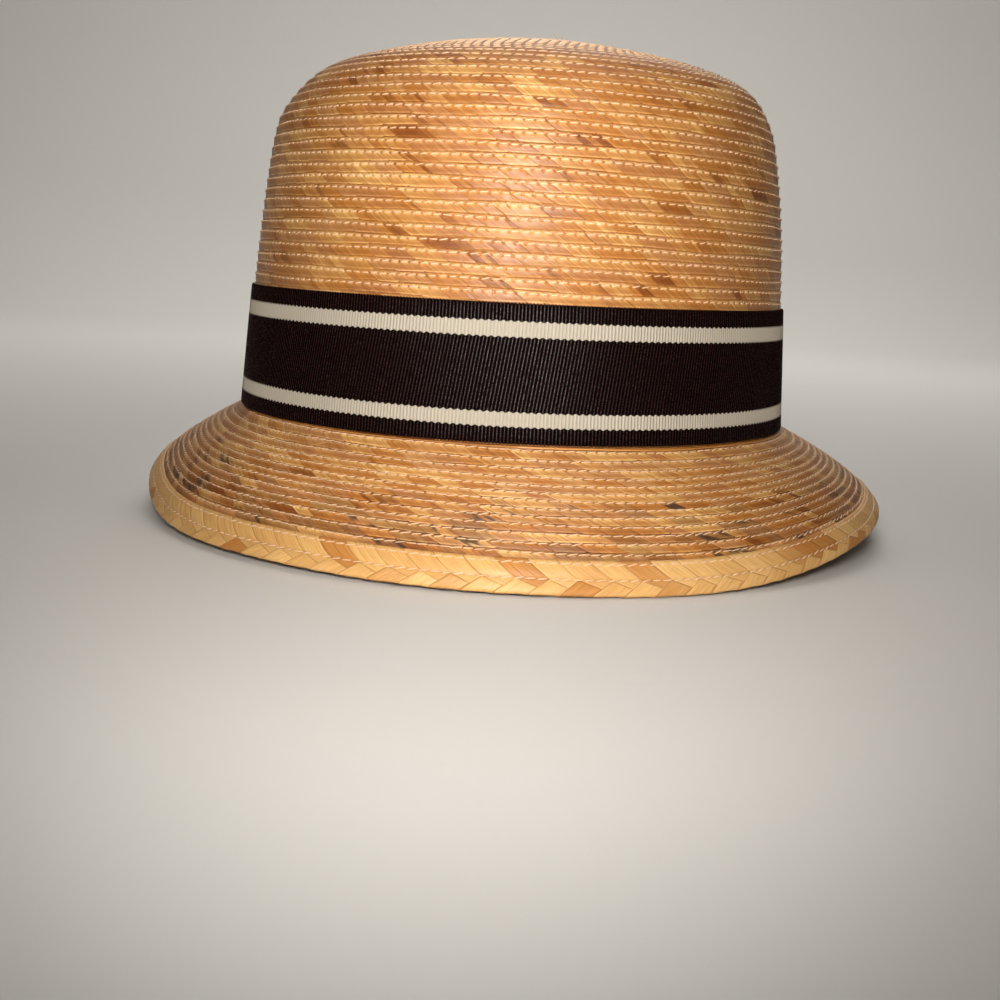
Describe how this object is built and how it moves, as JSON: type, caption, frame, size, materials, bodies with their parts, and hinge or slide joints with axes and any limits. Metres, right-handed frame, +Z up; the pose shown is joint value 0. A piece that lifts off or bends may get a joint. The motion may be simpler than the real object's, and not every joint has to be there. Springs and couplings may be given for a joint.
{
  "type": "straw hat",
  "caption": "Sewn palm-braid straw hat with a round oval crown, a short waved brim, a wide edge braid and a striped ribbon.",
  "frame": {"origin": "middle of the hat's box in plan, on the floor that the brim's edge rests on", "axes": "+Z up through the tip, the front of the hat faces -Y, +X to the right as the picture shows it"},
  "size_m": [0.2408, 0.2574, 0.1535],
  "materials": {
    "straw": "sewn braid of dried palm strips, honey and brown, with a soft gloss",
    "edge_straw": "wider palm braid, paler honey, soft gloss",
    "ribbon": "ribbed ribbon, dark brown with two ivory stripes"
  },
  "bodies": {
    "root": {"crown": "straw", "brim": "straw", "edge_braid": "edge_straw", "ribbon_band": "ribbon"}
  },
  "joints": []
}
